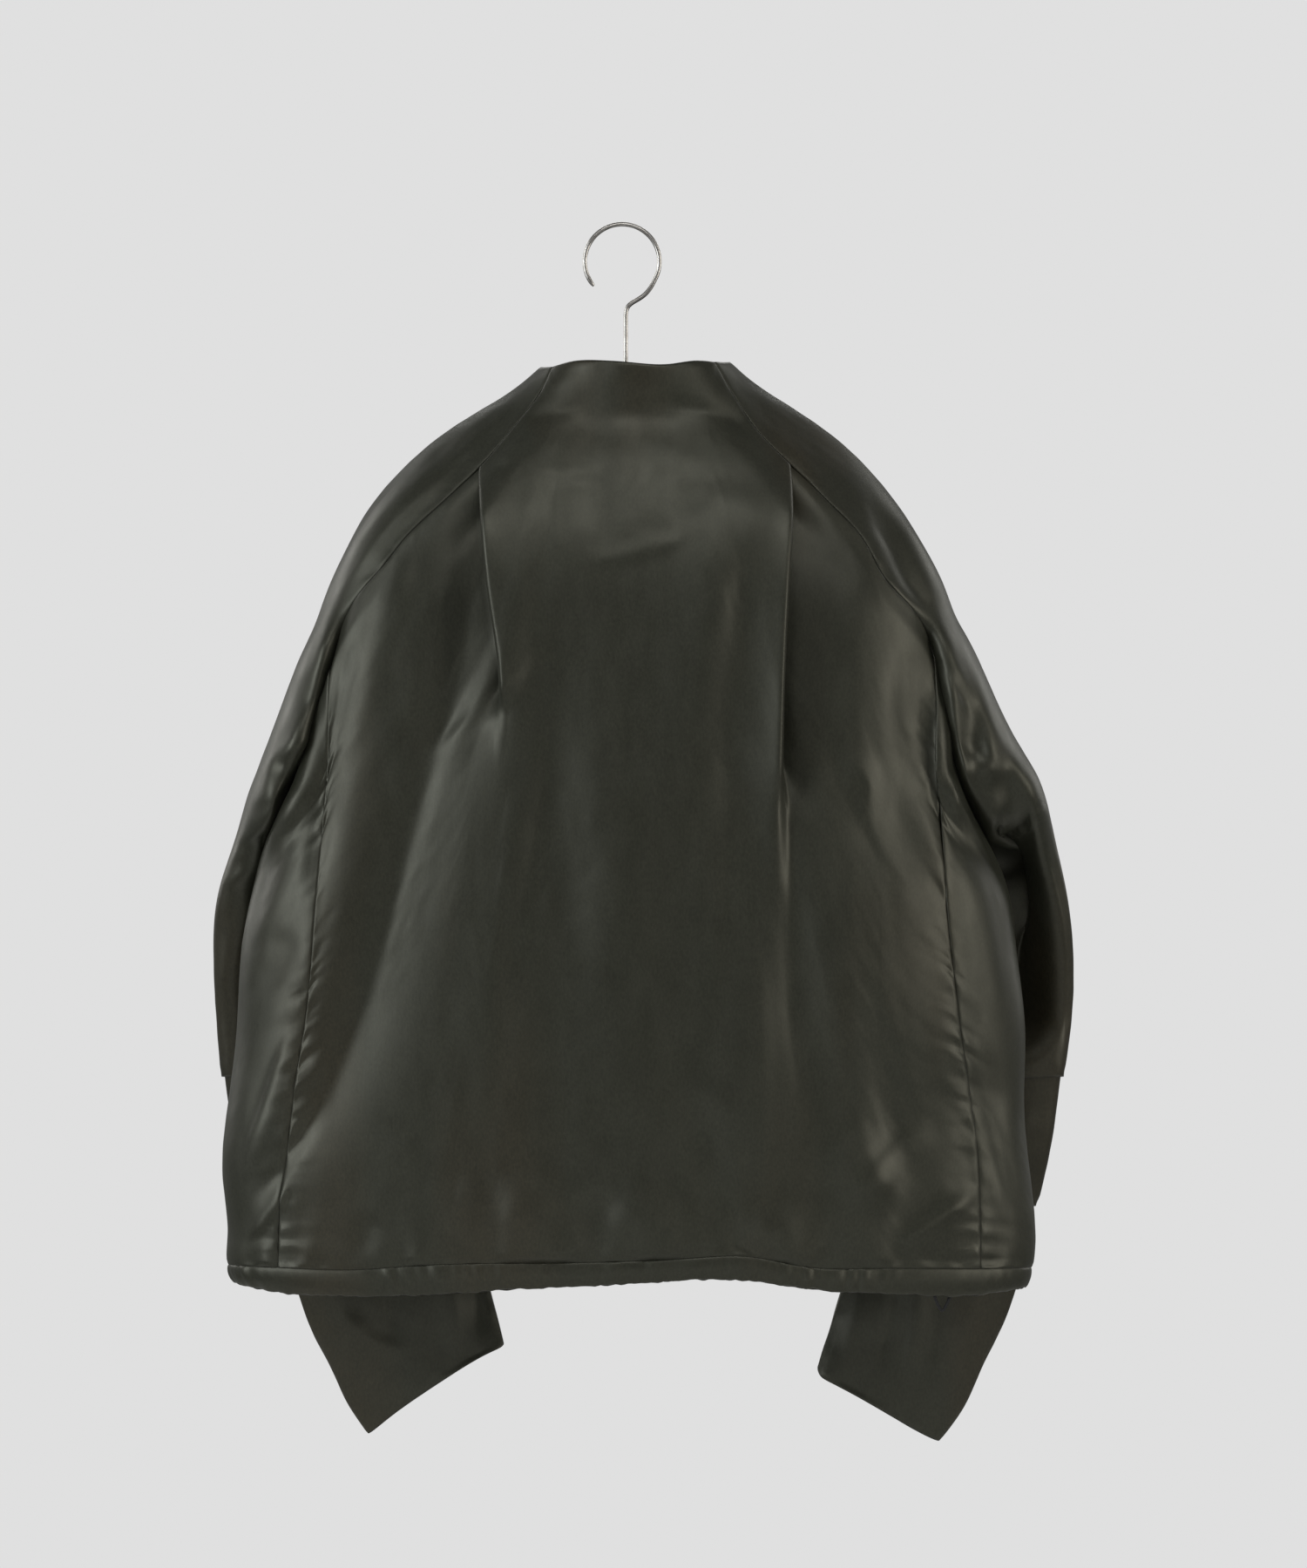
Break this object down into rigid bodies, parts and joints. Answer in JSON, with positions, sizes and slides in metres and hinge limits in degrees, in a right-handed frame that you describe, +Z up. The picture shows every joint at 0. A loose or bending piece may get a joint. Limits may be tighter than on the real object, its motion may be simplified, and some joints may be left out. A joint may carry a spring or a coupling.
{
  "type": "field jacket on a hanger",
  "caption": "Oversized raglan field jacket in satin cloth, hanging on a hanger: stand collar, pleated back, side panels, tucked sleeves and a drawcord hem; open at neck, hem and cuffs.",
  "frame": {"origin": "the inner top of the hanger's hook, where the rail carries it, on the wire's middle plane", "axes": "+Z up, -Y the jacket's back, +Y its front, +X the wearer's right"},
  "size_m": [0.6944, 0.218, 0.9808],
  "materials": {
    "satin_shell": "satin, with a soft two-tone sheen",
    "satin_trim": "satin",
    "black_cord": "matte round cord",
    "hanger_bar": "satin lacquer",
    "steel_wire": "polished wire"
  },
  "bodies": {
    "root": {"back": "satin_shell", "side_left": "satin_shell", "side_right": "satin_shell", "front_left": "satin_shell", "front_right": "satin_shell", "placket": "satin_trim", "sleeve_left_upper": "satin_shell", "sleeve_left_middle": "satin_shell", "sleeve_left_lower": "satin_shell", "sleeve_right_upper": "satin_shell", "sleeve_right_middle": "satin_shell", "sleeve_right_lower": "satin_shell", "hem_casing": "satin_trim", "drawcord_loop": "black_cord", "hanger": "hanger_bar", "hook": "steel_wire"}
  },
  "joints": []
}
